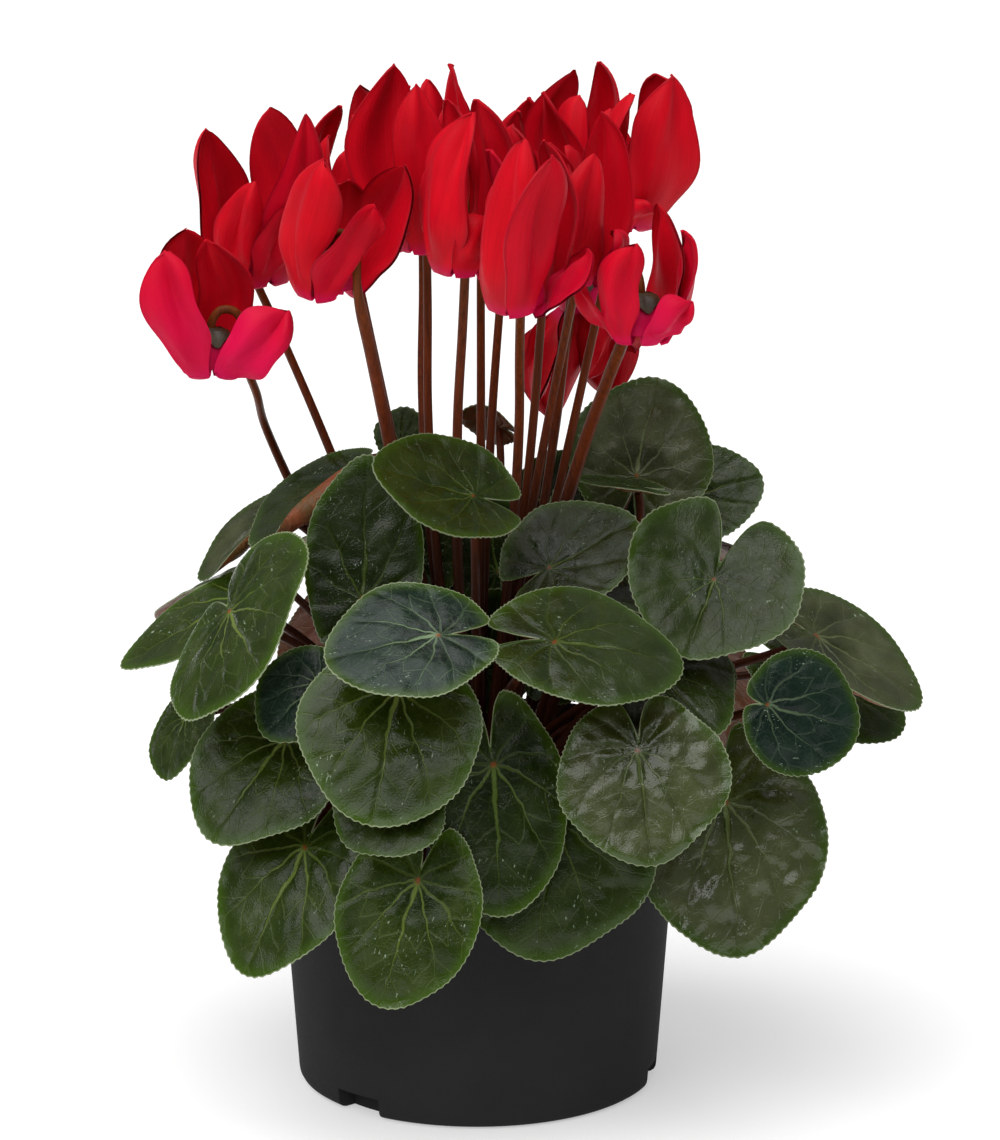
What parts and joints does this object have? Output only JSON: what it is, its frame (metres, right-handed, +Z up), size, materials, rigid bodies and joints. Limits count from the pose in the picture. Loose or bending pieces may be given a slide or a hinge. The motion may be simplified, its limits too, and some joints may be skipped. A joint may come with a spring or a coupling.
{
  "type": "potted cyclamen",
  "caption": "Potted cyclamen: charcoal nursery pot, mound of toothed silver-marked heart-shaped leaves, and red flowers with swept-back petals on hooked stalks.",
  "frame": {"origin": "centre of the pot's flat base, on the pot's axis", "axes": "+Z up along the pot's axis, -Y toward the side that the picture shows, +X to the right in the picture"},
  "size_m": [0.2275, 0.1979, 0.294],
  "materials": {
    "pot": "satin",
    "compost": "matte",
    "stalk": "satin",
    "leaf": "satin",
    "petal": "satin"
  },
  "bodies": {
    "root": {"pot": "pot", "compost": "compost", "crown": "stalk", "leaf_01": "leaf", "leaf_02": "leaf", "leaf_03": "leaf", "leaf_04": "leaf", "leaf_05": "leaf", "leaf_06": "leaf", "leaf_07": "leaf", "leaf_08": "leaf", "leaf_09": "leaf", "leaf_10": "leaf", "leaf_11": "leaf", "leaf_12": "leaf", "leaf_13": "leaf", "leaf_14": "leaf", "leaf_15": "leaf", "leaf_16": "leaf", "leaf_17": "leaf", "leaf_18": "leaf", "leaf_19": "leaf", "leaf_20": "leaf", "leaf_21": "leaf", "leaf_22": "leaf", "leaf_23": "leaf", "leaf_24": "leaf", "leaf_25": "leaf", "leaf_26": "leaf", "leaf_27": "leaf", "leaf_28": "leaf", "leaf_29": "leaf", "leaf_30": "leaf", "leaf_31": "leaf", "leaf_32": "leaf", "leaf_33": "leaf", "leaf_34": "leaf", "leaf_35": "leaf", "leaf_36": "leaf", "leaf_37": "leaf", "leaf_38": "leaf", "leaf_39": "leaf", "leaf_40": "leaf", "leaf_41": "leaf", "flower_01": "petal", "flower_02": "petal", "flower_03": "petal", "flower_04": "petal", "flower_05": "petal", "flower_06": "petal", "flower_07": "petal", "flower_08": "petal", "flower_09": "petal", "flower_10": "petal", "flower_11": "petal", "flower_12": "petal", "flower_13": "petal", "flower_14": "petal", "flower_15": "petal", "flower_16": "petal"}
  },
  "joints": []
}
